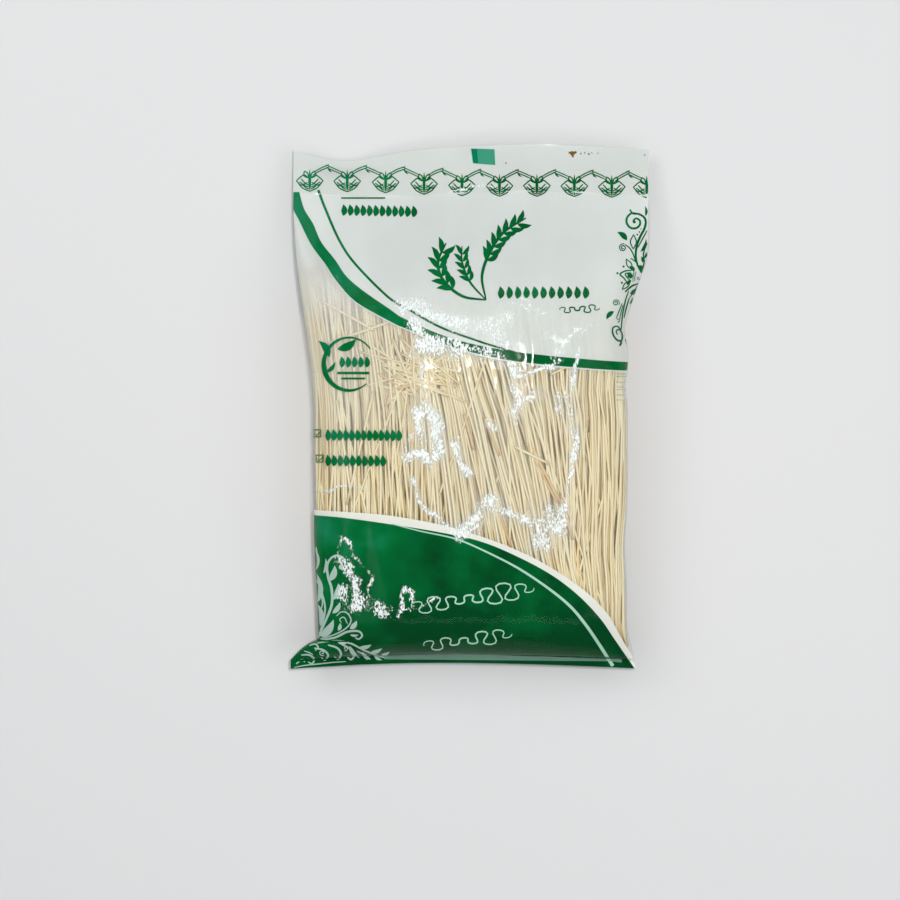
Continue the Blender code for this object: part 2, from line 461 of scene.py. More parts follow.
def crinkled_area(x, y):
    """How crinkled the film is, from 0 to 1: the most of what each crinkled path gives there."""
    x = x + 0.0007 * hills(x, y, 0.0055, 0.0055, 6) + 0.0005 * hills(x, y, 0.0021, 0.0021, 7)
    y = y + 0.0011 * hills(x, y, 0.0055, 0.0055, 8) + 0.0007 * hills(x, y, 0.0021, 0.0021, 9)
    area = np.zeros(np.shape(x))
    for path, reach in CRINKLES:
        line = (smooth_path(path, 12 * len(path)) - MIDDLE_PIXEL) * (PIXEL, -PIXEL) - SHIFT[:2]
        area = np.maximum(area, near_path(x, y, line, 1.35 * reach * PIXEL))
    return area * (0.86 + 0.36 * hills(x, y, 0.0036, 0.0050, 5))


# %% Fine relief
DENT_HEIGHT = 0.00010
CREASE_HEIGHT = 0.00022
SMALL_HEIGHT = 0.00005
CRINKLE_HEIGHT = 0.00018
RELIEF_AT_SEALS = 0.15


def fine_relief(x, y, place):
    """Fine height of the front film: dents between sticks, soft creases, and small crinkles."""
    dents = DENT_HEIGHT * hills(x, y, 0.0026, 0.03, 1) * eased(0.06, 0.09, place)
    creases = CREASE_HEIGHT * (0.5 - np.abs(hills(x, y, 0.013, 0.016, 2)))
    small = SMALL_HEIGHT * (0.5 - np.abs(hills(x, y, 0.0038, 0.0044, 3)))
    crinkled = CRINKLE_HEIGHT * crinkled_area(x, y) * hills(x, y, 0.003, 0.003, 4)
    return dents + creases + small + crinkled


def with_fine_relief(points, side, place, share=1.0):
    """The points raised by the fine relief, which fades out towards the bag's edges and its seals."""
    fade = share * np.sqrt(np.maximum(1 - side**2, 0.0)) * np.minimum(1, RELIEF_AT_SEALS + fullness(place))
    points[..., 2] += fine_relief(points[..., 0], points[..., 1], place) * fade
    return points


# %% [markdown]
# ## The film skin
# One closed tube of thin film. Going round it, the front has more points than the back, because its
# relief is finer; both ends are closed by a narrow strip.

# %% Film mesh
FRONT_STEPS = 340
BACK_STEPS = 80
RINGS = 400


def film_points():
    """Rings of points from the top edge to the bottom edge, with the fine relief on the front."""
    front = np.cos(np.linspace(0, np.pi, FRONT_STEPS + 1))
    back = np.cos(np.linspace(np.pi, 2 * np.pi, BACK_STEPS + 1))[1:-1]
    side = np.concatenate([front, back])[None, :]
    is_front = (np.arange(side.shape[1]) <= FRONT_STEPS)[None, :]
    place = np.linspace(0.0, LENGTH, RINGS)[:, None]
    points = skin(side, place, is_front)
    return with_fine_relief(points, side, place, share=is_front) + SHIFT


def film_faces(rings, around):
    """Four-sided faces between neighbouring rings."""
    ring, step = np.meshgrid(np.arange(rings - 1), np.arange(around), indexing="ij")
    after = (step + 1) % around
    near, far = ring * around, (ring + 1) * around
    return np.stack([near + step, near + after, far + after, far + step], axis=-1).reshape(-1, 4)


points = film_points()
rings, around = points.shape[:2]
film = new_object("film_bag", points.reshape(-1, 3), film_faces(rings, around)[:, ::-1])

# %% [markdown]
# ## Closing the film
# The two ends of the tube are closed by a flat strip each, which is the cut edge of the seal.

# %% Close both ends
def close_ends(piece):
    """Fills the open rims of a tube and cuts the fills into triangles."""
    mesh = bmesh.new()
    mesh.from_mesh(piece.data)
    rims = [edge for edge in mesh.edges if edge.is_boundary]
    filled = bmesh.ops.holes_fill(mesh, edges=rims, sides=0)["faces"]
    bmesh.ops.triangulate(mesh, faces=filled)
    mesh.to_mesh(piece.data)
    mesh.free()
    piece.data.shade_smooth()
    piece.data.set_sharp_from_angle(angle=np.radians(60))


close_ends(film)

# %% [markdown]
# ## How film looks
# Clear film sends most light straight through, so its shader is mostly transparent. A little white
# haze stands for its fine scratches, and a mirror-like gloss grows towards grazing angles. Where the
# film is crinkled the haze turns white in flecks, which are mostly painted glints.

# %% Film material
def film_material():
    """Transparent, then a little milky white that turns into painted glints in flecks, then gloss by
    facing angle, with fine crinkles as bump.
    """
    material, tree = new_material("clear_film")
    spot = add(tree, "TexCoord", {}, out="Object")
    crinkle = add(tree, "Attribute", {}, out="Fac", attribute_name="crinkle")
    noise = add(tree, "TexNoise", {"Vector": spot, "Scale": 620.0, "Detail": 3.0})
    bump = add(tree, "Bump", {"Distance": 0.0009, "Strength": crinkle, "Height": noise})
    clear = add(tree, "BsdfTransparent", {"Color": (0.97, 0.985, 0.975, 1.0)})
    haze_and_glints = add(tree, "BsdfDiffuse", {"Color": (0.93, 1.0, 0.97, 1.0)})
    gloss = add(tree, "BsdfGlossy", {"Roughness": 0.075, "Normal": bump})
    # Crinkled film turns white in sharp upright flecks, where noise times crinkle passes a threshold.
    # These white flecks are mostly painted glints, white haze that stands for the lamp's glare on the
    # crinkles, and partly the film's own whitening where it is creased.
    upright = add(tree, "VectorMath", {0: spot, 1: (1.0, 0.5, 1.0)}, operation="MULTIPLY")
    grain = add(tree, "TexNoise", {"Vector": upright, "Scale": 1250.0, "Detail": 3.0, "Roughness": 0.7})
    rooted = add(tree, "Math", {0: crinkle}, operation="SQRT")
    mottled = add(tree, "Math", {0: grain, 1: rooted}, operation="MULTIPLY")
    steps = {"Value": mottled, "From Min": 0.41, "From Max": 0.48, "To Min": 0.0005, "To Max": 0.97}
    speckle = add(tree, "MapRange", steps)
    # The gloss has a small share that grows in the flecks and at grazing angles.
    facing = add(tree, "LayerWeight", {"Blend": 0.5}, out="Facing")
    steep = add(tree, "Math", {0: facing, 1: 4.0}, operation="POWER")
    flecked = add(tree, "Math", {0: speckle, 1: 0.16, 2: 0.010}, operation="MULTIPLY_ADD")
    share = add(tree, "Math", {0: steep, 1: 0.45, 2: flecked}, operation="MULTIPLY_ADD")
    hazy_and_glinting = add(tree, "MixShader", {"Fac": speckle, 1: clear, 2: haze_and_glints})
    return surfaced(material, add(tree, "MixShader", {"Fac": share, 1: hazy_and_glinting, 2: gloss}))


def set_attribute(piece, name, values):
    """A number for each point of a piece, which its material can read by name."""
    attribute = piece.data.attributes.new(name, "FLOAT", "POINT")
    attribute.data.foreach_set("value", np.ascontiguousarray(values, np.float32).ravel())


crinkled = crinkled_area(points[..., 0] - SHIFT[0], points[..., 1] - SHIFT[1])
crinkled = np.where(np.arange(around) <= FRONT_STEPS, np.clip(crinkled, 0.0, 1.0), 0.0)
set_attribute(film, "crinkle", crinkled)
film.data.materials.append(film_material())

# %% [markdown]
# ## Where a printed mark lies on the film
# A mark is given by pixels. Each pixel's ray is followed down to the film's front, which takes a few
# rounds, because the height where it lands depends on where it lands.

# %% From pixel to film
def film_place(x, y):
    """(side, place) of the front film above a point: the place is corrected by how far off its Y is."""
    place = LENGTH / 2 - y
    for _ in range(7):
        left, right = edges(place)
        side = np.clip((x - (left + right) / 2) / ((right - left) / 2), -0.998, 0.998)
        place = np.clip(place + along_bag(x, side, place) - y, 0.0, LENGTH)
    return side, place


def front_points(side, place, depth):
    """Points under the front film by a depth, with the film's fine relief, in the frame."""
    return with_fine_relief(skin(side, place, True, inset=depth), side, place) + SHIFT


def from_photo(pixels):
    """(side, place) on the front film for pixels of the photograph, by the camera's rays."""
    pixels = np.asarray(pixels, float)
    across = (pixels[..., 0] - PHOTO_SIDE / 2) * PIXEL / CAMERA_DISTANCE
    up = (PHOTO_SIDE / 2 - pixels[..., 1]) * PIXEL / CAMERA_DISTANCE
    ray = -backwards + across[..., None] * np.array([1.0, 0.0, 0.0]) + up[..., None] * upwards
    height = np.full(across.shape, SEAL_LEVEL + FRONT_RISE)
    for _ in range(6):
        reach = (height - eye[2]) / ray[..., 2]
        spot = eye + reach[..., None] * ray - SHIFT
        side, place = film_place(spot[..., 0], spot[..., 1])
        height = skin(side, place, True)[..., 2] + SHIFT[2]
    return side, place


# %% [markdown]
# ## Ink
# Print on such a bag is under the film's outer face, so it never breaks the gloss. Each ink is one
# mesh of thin strips: a path, a width that may change along it, and the film's form under both.

# %% Strips and sheets
INK_DEPTH = 0.00012
OVER_INK = 0.5 * INK_DEPTH


def strip(path, width, across=3):
    """A band along a path of pixels: each point goes out by half the width along the path's normal."""
    path = np.asarray(path, float)
    run = np.gradient(path, axis=0)
    normal = np.stack([-run[:, 1], run[:, 0]], axis=1)
    normal = normal / np.maximum(np.linalg.norm(run, axis=1), 1e-9)[:, None]
    out = np.linspace(-0.5, 0.5, across)[None, :] * np.broadcast_to(width, (len(path),))[:, None]
    return path[:, None, :] + out[..., None] * normal[:, None, :]


def between(first, second, across=3):
    """A band between two paths of pixels with as many points each."""
    part = np.linspace(0, 1, across)[None, :, None]
    return np.asarray(first)[:, None, :] * (1 - part) + np.asarray(second)[:, None, :] * part


def grid_faces(rows, columns):
    """Four-sided faces of a grid of points."""
    row, column = np.meshgrid(np.arange(rows - 1), np.arange(columns - 1), indexing="ij")
    corner = row * columns + column
    return np.stack([corner, corner + 1, corner + columns + 1, corner + columns], axis=-1).reshape(-1, 4)


def facing_up(grid, faces, upward=True):
    """The faces turned so that the sheet looks up, judged by the area that it covers seen from above."""
    corners = grid.reshape(-1, 3)[faces]
    first, second = corners[:, 2] - corners[:, 0], corners[:, 3] - corners[:, 1]
    area = (first[:, 0] * second[:, 1] - first[:, 1] * second[:, 0]).sum()
    return faces if (area > 0) == upward else faces[:, ::-1]


def joined(name, grids, material, upward=True):
    """One object from many grids of points."""
    points, faces, count = [], [], 0
    for grid in grids:
        rows, columns = grid.shape[:2]
        points.append(grid.reshape(-1, 3))
        faces.append(facing_up(grid, grid_faces(rows, columns), upward) + count)
        count += rows * columns
    made = new_object(name, np.concatenate(points), np.concatenate(faces))
    made.data.materials.append(material)
    return made


def printed(name, strips, material, depth=INK_DEPTH):
    """Strips given in pixels, laid under the front film as one object, all in one go."""
    pixels = np.concatenate([one.reshape(-1, 2) for one in strips])
    laid = front_points(*from_photo(pixels), depth)
    parts = np.split(laid, np.cumsum([one.shape[0] * one.shape[1] for one in strips])[:-1])
    return joined(name, [part.reshape(*one.shape[:2], 3) for part, one in zip(parts, strips)], material)


def ink_material(name, colour, cover=1.0, mottle=0.05, fall=0.0, sheen=None):
    """Ink: plain colour with slight cloudiness, and see-through by what its cover leaves. A fall is
    painted shade that makes it darker towards the bottom seal, and a sheen is a painted highlight
    that makes it lighter towards the left."""
    material, tree = new_material(name)
    spot = add(tree, "TexCoord", {}, out="Object")
    cloud = add(tree, "TexNoise", {"Vector": spot, "Scale": 55.0, "Detail": 4.0})
    # A fall is painted shade: the ink grows darker towards the bottom seal.
    up = add(tree, "SeparateXYZ", {"Vector": spot}, out="Y")
    reach = {"From Min": -0.115, "From Max": -0.045, "To Min": -fall, "To Max": 0.4 * fall}
    height = add(tree, "MapRange", {"Value": up, **reach})
    total = add(tree, "Math", {0: cloud, 1: height}, operation="ADD")
    darker = [c * (1 - mottle) for c in colour]
    lighter = [min(1.0, c * (1 + mottle)) for c in colour]
    stops = [(0.3, darker), (0.7, lighter)]
    # A sheen is a painted highlight: the ink grows lighter towards the left.
    if sheen:
        stops.append((1.0, sheen))
        across = add(tree, "SeparateXYZ", {"Vector": spot}, out="X")
        reach = {"From Min": -0.020, "From Max": -0.078, "To Max": 0.26}
        aside = add(tree, "MapRange", {"Value": across, **reach})
        total = add(tree, "Math", {0: total, 1: aside}, operation="ADD")
    look = {"Base Color": colour_ramp(tree, total, stops), "Roughness": 0.35, "Specular IOR Level": 0.0}
    shader = add(tree, "BsdfPrincipled", look)
    if cover < 1.0:
        clear = add(tree, "BsdfTransparent", {})
        shader = add(tree, "MixShader", {"Fac": cover, 1: clear, 2: shader})
    return surfaced(material, shader)


# %% [markdown]
# ## Fields of colour
# The milky field runs from the top edge down to a green sweep, and the green field fills the bottom.
# Both wrap round to the bag's edges, so they use the film's own columns, and only their curved edge
# comes from the photograph.

# %% Field edges
SWEEP_LOWER = [
    (293, 192), (292.4, 207), (300, 223), (311, 245), (325, 264), (337, 282), (356, 302), (391, 322),
    (407, 329), (456, 348), (514, 361), (590, 368.5), (634, 371),
]
SWEEP_UPPER = [
    (299, 192), (304, 209), (313, 224), (321, 242), (335, 260), (346, 276), (362, 290), (388, 308),
    (407, 320), (457, 340), (518, 352), (590, 359.5), (634, 362.5),
]
GREEN_TOP = [
    (306, 514.5), (345, 518), (395, 525), (438, 532), (479, 541), (514, 555), (550, 574), (578, 595),
    (600, 618), (616, 641), (640, 676),
]
PALE_TOP = [
    (306, 509.5), (345, 512), (388, 515.5), (437, 524), (470, 533), (507, 546), (545, 564), (584, 590),
    (608, 614), (623, 640), (644, 676),
]

# %% Inks and fields
# The green has painted shade towards the bottom seal and a painted highlight towards the left.
green = ink_material("green_ink", (0.0, 0.104, 0.024), mottle=0.42, fall=0.25, sheen=(0.010, 0.235, 0.110))
white = ink_material("milky_ink", (0.89, 0.92, 0.90), cover=0.70, mottle=0.02)
back_white = ink_material("back_white_ink", (0.90, 0.92, 0.90), cover=0.62, mottle=0.02)
seal_white = ink_material("seal_ink", (0.75, 0.775, 0.75), cover=0.84, mottle=0.03)
pale = ink_material("pale_ink", (0.90, 0.89, 0.82), cover=0.92, mottle=0.02)
mint = ink_material("mint_ink", (0.42, 0.68, 0.54), mottle=0.04)


def edge_place(path, columns):
    """The place along the bag where an edge, given in pixels, crosses each column of the film."""
    side, place = from_photo(smooth_path(path, 160))
    order = np.argsort(side)
    return np.interp(columns, side[order], place[order])


def field(name, top, bottom, material, depth, front=True, reach=1.0):
    """A sheet from the places in top to those in bottom, column by column, under the film."""
    columns = reach * np.cos(np.linspace(np.pi, 0, len(top)))
    rows = int(np.max(bottom - top) / 0.0011) + 2
    part = np.linspace(0, 1, rows)[:, None]
    place = top[None, :] * (1 - part) + bottom[None, :] * part
    side = np.broadcast_to(columns, place.shape)
    if front:
        grid = front_points(side, place, depth)
    else:
        grid = skin(side, place, False, inset=depth) + SHIFT
    return joined(name, [grid], material, upward=front)


TOP_MARGIN = 0.0004
BOTTOM_MARGIN = 0.0012
MILKY_GAP = 0.0007
PALE_UNDER_GREEN = 0.0004
COLUMNS = np.cos(np.linspace(np.pi, 0, 201))
top_edge = np.full(COLUMNS.shape, TOP_MARGIN)
bottom_edge = np.full(COLUMNS.shape, LENGTH - BOTTOM_MARGIN)
sweep_edge = edge_place(SWEEP_LOWER, COLUMNS) + MILKY_GAP
green_edge = np.minimum(edge_place(GREEN_TOP, COLUMNS), bottom_edge)
pale_edge = np.minimum(edge_place(PALE_TOP, COLUMNS), bottom_edge)
pale_end = np.minimum(green_edge + PALE_UNDER_GREEN, bottom_edge)
# The milky field starts beside the sweep, so left of the sweep only the seal band is printed.
milky_edge = np.maximum(sweep_edge, TOP_SEAL_END)
seal_end = np.full(COLUMNS.shape, TOP_SEAL_END)
milky = field("milky_field", seal_end, milky_edge, white, 2 * INK_DEPTH)
seal_field = field("seal_field", top_edge, seal_end, seal_white, 2 * INK_DEPTH)
lower = field("green_field", green_edge, bottom_edge, green, INK_DEPTH)
pale_band = field("pale_band", pale_edge, pale_end, pale, 2 * INK_DEPTH)

# %% [markdown]
# ## A white veil inside the film
# A white sheet lies just under the front film. It shows as a white veil above the ends of the
# sticks, where the film stands off them, on the left, in the middle of the window, and faintly all
# over. Along the crinkles it is painted glare, the lamp's shine on crinkled film.

# %% White veil and painted glare
def veil_and_glare_material():
    """A white veil whose cover is an attribute of the sheet; along the crinkles it is painted glare."""
    material, tree = new_material("white_veil_and_glare")
    cover = add(tree, "Attribute", {}, out="Fac", attribute_name="veil")
    clear = add(tree, "BsdfTransparent", {})
    white_veil = add(tree, "BsdfDiffuse", {"Color": (0.93, 0.94, 0.92, 1.0)})
    return surfaced(material, add(tree, "MixShader", {"Fac": cover, 1: clear, 2: white_veil}))


veil_and_glare = field("veil_and_glare", seal_end, green_edge, veil_and_glare_material(), 3 * INK_DEPTH)
spots = np.empty(3 * len(veil_and_glare.data.vertices), np.float32)
veil_and_glare.data.vertices.foreach_get("co", spots)
spots = spots.reshape(-1, 3) - SHIFT
down = LENGTH / 2 - spots[:, 1]
# Along the crinkles the veil is painted glare.
TOP_VEIL, ALL_VEIL, LEFT_VEIL, WINDOW_VEIL, CRINKLE_GLARE = 0.30, 0.08, 0.20, 0.09, 0.34
VEIL_MOST = 0.7
WINDOW_MIDDLE, WINDOW_HALF = (0.010, 0.146), (0.034, 0.033)
aside = (spots[:, 0] - WINDOW_MIDDLE[0]) / WINDOW_HALF[0]
along = (down - WINDOW_MIDDLE[1]) / WINDOW_HALF[1]
veil = TOP_VEIL * (1.0 - eased(0.064, 0.090, down)) + ALL_VEIL * (1.0 - eased(0.09, 0.17, down))
veil += LEFT_VEIL * (1.0 - eased(-0.060, -0.015, spots[:, 0])) * (1.0 - eased(0.10, 0.17, down))
veil += WINDOW_VEIL * np.exp(-(aside**4 + along**4))
veil += CRINKLE_GLARE * crinkled_area(spots[:, 0], spots[:, 1])
set_attribute(veil_and_glare, "veil", np.clip(veil, 0.0, VEIL_MOST))

# %% [markdown]
# ## The back of the bag
# The back is printed too. The photograph shows it only as a faint cast through the clear corner at
# the upper left, so its fields are plain: milky at the top, green at the bottom, clear between.

# %% Back of the bag
BACK_MILKY_END = 0.080
BACK_GREEN_START = 0.1905
back_milky_end = np.full(COLUMNS.shape, BACK_MILKY_END)
back_green_start = np.full(COLUMNS.shape, BACK_GREEN_START)
back_milky = field("back_milky", top_edge, back_milky_end, back_white, INK_DEPTH, front=False)
back_green = field("back_green", back_green_start, bottom_edge, green, INK_DEPTH, False, 0.965)


def back_line(place, start, end, height, inset=0.6):
    """A level band of print on the back, from one side value to another, as a grid of points."""
    side = np.linspace(start, end, 3 + int((end - start) * 80))[None, :]
    places = np.linspace(place, place + height, 3)[:, None]
    side, places = np.broadcast_arrays(side, places)
    return skin(side, places, False, inset=inset * INK_DEPTH) + SHIFT


LINE_START = 0.046
LINE_STEP = 0.0034
LINE_HEIGHT = 0.0011
GHOST_START = 0.0555
GHOST_STEP = 0.042
line_places = LINE_START + LINE_STEP * np.arange(11)
left_ends = -0.50 + 0.05 * (np.arange(9) % 3)
right_ends = 0.62 - 0.06 * (np.arange(11) % 4)
back_lines = [back_line(at, -0.86, end, LINE_HEIGHT) for at, end in zip(line_places, left_ends)]
back_lines += [back_line(at, 0.10, end, LINE_HEIGHT) for at, end in zip(line_places, right_ends)]
back_lines += [back_line(0.040, -0.86, 0.62, 0.0016)]
back_teal = ink_material("back_teal", (0.16, 0.42, 0.30))
back_print = joined("back_lines", back_lines, back_teal, upward=False)
ghosts = []
for k in range(5):
    drop, left_end = 0.0012 * (k % 2), -0.90 + GHOST_STEP * k
    ghosts.append(back_line(GHOST_START + drop, left_end, left_end + 0.024, 0.0050 - drop, 2.0))
ghosts.append(back_line(0.0625, -0.90, -0.64, LINE_HEIGHT, 2.0))
back_ghost = joined("back_ghost", ghosts, ink_material("ghost_teal", (0.02, 0.26, 0.18)))
back_pale = field("back_pale", back_green_start, bottom_edge, back_white, 2 * INK_DEPTH, False, 0.962)

# %% [markdown]
# ## The sweep and its lines
# A broad green sweep with a thin companion parts the milky field from the clear window. It is a
# band between two curves, because its width changes along it. The thin lines are strips along one.

# %% Sweep, companion line and line in the green
COMPANION = [
    (318, 190), (326, 211), (340, 242), (356, 265), (388, 297), (408, 309), (440, 327), (481, 342),
    (501, 348), (517, 353),
]
MINT_LINE = [
    (392, 524), (420, 531), (459, 540), (501, 559), (526, 573), (552, 591), (571, 607), (586, 625),
    (599, 644), (613, 666),
]
sweep = between(smooth_path(SWEEP_UPPER, 260), smooth_path(SWEEP_LOWER, 260), across=9)
companion = strip(smooth_path(COMPANION, 170), np.linspace(2.6, 2.0, 170))
mint_line = strip(smooth_path(MINT_LINE, 200), np.linspace(1.0, 3.4, 200))

# %% [markdown]
# ## Drawing with strips
# All ornaments are built from four marks: a stroke that thins towards both ends, a leaf that is
# widest in its middle, a spiral, and a dot. Each gives a small grid of pixels for a strip.

# %% Marks
def stroke(points, width, thin=0.35):
    """A line through the points, full in the middle and thinner at its ends."""
    path = smooth_path(points, 5 + 5 * len(points))
    part = np.linspace(0, np.pi, len(path))
    return strip(path, width * (thin + (1 - thin) * np.sin(part) ** 0.6))


def leaf(base, tip, width, bend=0.12):
    """A leaf from base to tip: its spine bends by a share of its length, and its width is a sine."""
    base, tip = np.array(base, float), np.array(tip, float)
    part = np.linspace(0, 1, 11)[:, None]
    run = tip - base
    spine = base + run * part + np.array([-run[1], run[0]]) * bend * np.sin(np.pi * part)
    return strip(spine, 0.15 + width * np.sin(np.pi * part[:, 0] ** 0.85), across=5)


def hollow_leaf(base, tip, width, line=1.25, bend=0.0):
    """Only the outline of a leaf: two strokes that bulge to either side."""
    base, tip = np.array(base, float), np.array(tip, float)
    run = tip - base
    side = np.array([-run[1], run[0]]) / np.linalg.norm(run)
    middle = (base + tip) / 2 + side * bend * np.linalg.norm(run)
    return [stroke([base, middle + side * width / 2 * way, tip], line, thin=0.7) for way in (-1, 1)]


def spiral(centre, radius, start, turns, line):
    """A curl that winds in: its radius falls evenly to a fifth as its angle goes round."""
    angle = start + np.linspace(0, 2 * np.pi * turns, 26)
    reach = radius * np.linspace(1.0, 0.2, 26)
    path = np.array(centre, float) + np.stack([np.cos(angle), np.sin(angle)], axis=1) * reach[:, None]
    return strip(path, line * np.linspace(0.8, 1.1, 26))


def dot(centre, radius):
    """A round dot: a strip across its middle that is as wide as the circle is high there."""
    across = np.cos(np.linspace(np.pi, 0, 9))
    path = np.array(centre, float) + np.stack([across * radius, 0 * across], axis=1)
    return strip(path, 2 * radius * np.sqrt(np.maximum(1 - across**2, 0.01)))


def mirrored(points):
    """The same points with X turned round, for the other half of a symmetric ornament."""
    return [(-x, y) for x, y in points]


# %% [markdown]
# ## The flower chain on the seal
# One flower is drawn round its own middle: side petals with veins that fan out, upper petals, a
# tall bud and a pointed base. It is repeated along the seal with double lines slung between neighbours.

# %% Flower chain
CHAIN_MIDDLE = [
    (309.5, 180.5), (347, 181), (385.5, 182), (424, 183.5), (462, 185), (499.5, 185.5), (537, 185.5),
    (574.5, 185.8), (612, 186.5), (647, 187),
]
CHAIN_END = 649


def flower():
    """Strips of one flower round (0, 0), in pixels."""
    half = [
        [(-1, -2.5), (-6, -5.5), (-13.5, 0.2)], [(-13.5, 0.2), (-8.5, 4.6), (-2, 1.8)],
        [(-1.6, -2.4), (-5.8, -5), (-5.2, -9.6)], [(-5.2, -9.6), (-2.2, -7.4), (-1.1, -3.6)],
        [(-11.6, 2.6), (-7.2, 7.4), (0, 10.8)], [(-1.4, 4.6), (-4.6, 2.6), (-8.6, -1.6)],
        [(-1.2, 6.4), (-5.0, 5.0), (-10.4, 1.2)], [(-1.0, 8.4), (-3.8, 7.2), (-6.8, 4.6)],
    ]
    marks = [stroke(points, 1.35, thin=0.75) for points in half]
    marks += [stroke(mirrored(points), 1.35, thin=0.75) for points in half]
    marks += [leaf((0, 10.4), (0, -11.5), 2.8, bend=0.0)]
    return marks


def chain():
    """Flowers along the seal, and the lines slung between each two of them."""
    marks = [one + np.array(middle) for middle in CHAIN_MIDDLE[:-1] for one in flower()]
    last = [one + np.array(CHAIN_MIDDLE[-1]) for one in flower()]
    marks += [one for one in last if one[..., 0].max() < CHAIN_END]
    for (x0, y0), (x1, y1) in zip(CHAIN_MIDDLE, CHAIN_MIDDLE[1:]):
        x, y = (x0 + x1) / 2 + 0.5, (y0 + y1) / 2 - 16.2
        for down in (0.0, 2.4):
            rise = [(x0 + 3.5, y0 - 8.0 + down), (x0 + 11, y0 - 12.4 + down), (x, y + down)]
            fall = [(x - 3, y + 0.4 + down), (x1 - 11, y1 - 11.6 + down), (x1 - 4.5, y1 - 8.6 + down)]
            marks += [stroke(rise, 1.2, thin=0.8), stroke(fall, 1.1, thin=0.7)]
        marks.append(leaf((x - 1, y + 3), (x + 3.2, y + 7.5), 1.6))
    return marks


# %% [markdown]
# ## The scroll at the right edge
# Spirals on long stems, leaves and a lotus seen from the side.

# %% Scroll
# Strokes are a path and a width, leaves a base, a tip and a width, and dots a middle and a radius,
# all in pixels.
SCROLL_STROKES = [
    ([(630, 209.5), (633, 213.5), (639, 214), (644.5, 217.5), (646, 222.5), (644.5, 229), (640.8, 236),
        (637.6, 244), (636, 254), (637.5, 264), (641.9, 273)], 1.9),
    ([(639, 214.2), (632, 213.2), (627.4, 217.6), (627, 223), (630.5, 227.6), (636, 228.2), (640, 225),
        (640, 220.6), (636.5, 218.4), (633.6, 220.6), (634.2, 223)], 1.8),
    ([(647.3, 230.5), (643, 238.5), (638.2, 247.5)], 1.1),
    ([(625.1, 244.3), (630, 248.2), (633.6, 254.6), (636, 262)], 1.1),
    ([(647.4, 243), (643.8, 253), (644.4, 262), (641.9, 272.4)], 1.2),
    ([(637.5, 263), (633, 259.6), (630.6, 258.2)], 1.0),
    ([(632, 270.4), (625.5, 271), (620.3, 274.2), (624, 278), (627, 282)], 1.3),
    ([(631.4, 272.6), (625.6, 273.8), (628, 278.2), (631, 280.6)], 1.0),
    ([(634.4, 271), (633.4, 276), (633.2, 282)], 0.7),
    ([(636.2, 271.4), (635.2, 276), (635, 281.4)], 0.7),
    ([(638.6, 283.6), (632, 286.2), (625.2, 292)], 1.5),
    ([(637.4, 286), (634, 292), (629.4, 298.5)], 0.9),
    ([(628.9, 291), (625.6, 301), (622.9, 314.5), (621.4, 330)], 1.2),
    ([(629.4, 298.5), (626.4, 308.5), (624.4, 318)], 1.2),
    ([(622.4, 303.3), (619.4, 311), (616.4, 319)], 0.9),
    ([(623.4, 305), (621.4, 312), (619.4, 322)], 0.8),
    ([(621.8, 330), (617.6, 326.4), (613.2, 328), (613.4, 334.5), (617.4, 340), (621.8, 340.4),
        (622.6, 334.6), (619.8, 329.6), (616.6, 331), (617.6, 334.8)], 1.4),
    ([(621.6, 340.6), (621.2, 343.5), (619.8, 346)], 1.6),
    ([(625.4, 339), (627.4, 344), (628.8, 349)], 1.1),
]
SCROLL_LEAVES = [
    ((645.7, 216), (645.3, 206.3), 2.2), ((627, 240.4), (617.5, 232.1), 4.6),
    ((640.8, 251.8), (646.4, 239), 2.6), ((644.8, 258.3), (646.3, 251.8), 1.8),
    ((639.7, 265), (643.9, 269.6), 4.2), ((643, 262.4), (641.5, 256.6), 2.6),
    ((634.3, 271.6), (629.8, 266), 3.2), ((631.4, 278.6), (627.4, 273.4), 4.6),
    ((630.4, 294.1), (636.6, 288), 3.8), ((630, 304), (632.6, 297.4), 1.6),
    ((614.2, 311.5), (606.8, 319.4), 4.0), ((631.5, 280.6), (627.2, 285.2), 2.8),
]
SCROLL_DOTS = [
    ((637.5, 234.6), 0.9), ((639.6, 232), 0.8), ((641.2, 229), 0.6), ((623.8, 266.5), 1.1),
    ((617.7, 273.2), 1.1), ((622.1, 282.7), 1.1), ((618.2, 319.2), 0.7), ((618.6, 322), 0.7),
    ((634.7, 222), 1.5),
]


def scroll():
    """Strips of the whole scroll, in pixels."""
    marks = [stroke(points, 1.25 * width, thin=0.6) for points, width in SCROLL_STROKES]
    marks += [leaf(base, tip, 1.15 * width) for base, tip, width in SCROLL_LEAVES]
    marks += [dot(centre, radius) for centre, radius in SCROLL_DOTS]
    marks += hollow_leaf((633.5, 249.2), (633.8, 234.5), 6.0) + hollow_leaf((632.6, 270), (626.4, 259), 4.6)
    marks += hollow_leaf((630.8, 280.6), (622.4, 289.6), 4.2)
    marks += [spiral((623.1, 247.7), 4.0, -1.2, -1.7, 1.2), spiral((616.2, 302.8), 3.6, 0.6, -1.6, 1.0)]
    marks += [spiral((638.6, 278.1), 1.9, 0.0, 1.0, 0.8)]
    return marks


# %% [markdown]
# ## Plain marks
# A sprig of rice, rows of grains, bars, flourishes, a round sign and two ticked boxes complete
# the print. Each has its colour, size and place from the photograph.

# %% Sprig, grains, badge and boxes
def ear(stem, width, grains, size):
    """A stem with paired grains along its outer half."""
    path = smooth_path(stem, 60)
    marks = [stroke(stem, width)]
    for k in range(grains):
        at = 24 + int(34 * k / grains)
        ahead = path[at + 1] - path[at]
        ahead = ahead / np.linalg.norm(ahead)
        aside = np.array([-ahead[1], ahead[0]])
        for way in (-1, 1):
            tip = path[at] + (ahead * 0.85 + way * aside * 0.62) * size
            marks.append(leaf(path[at] + way * aside * 0.8, tip, size * 0.36))
    return marks


def grain_row(start, end, count, size):
    """A row of upright grains between two points."""
    half = np.array([0, size / 2])
    spots = np.linspace(start, end, count)
    return [leaf(spot + half, spot - half, size * 0.52, bend=0.1) for spot in spots]


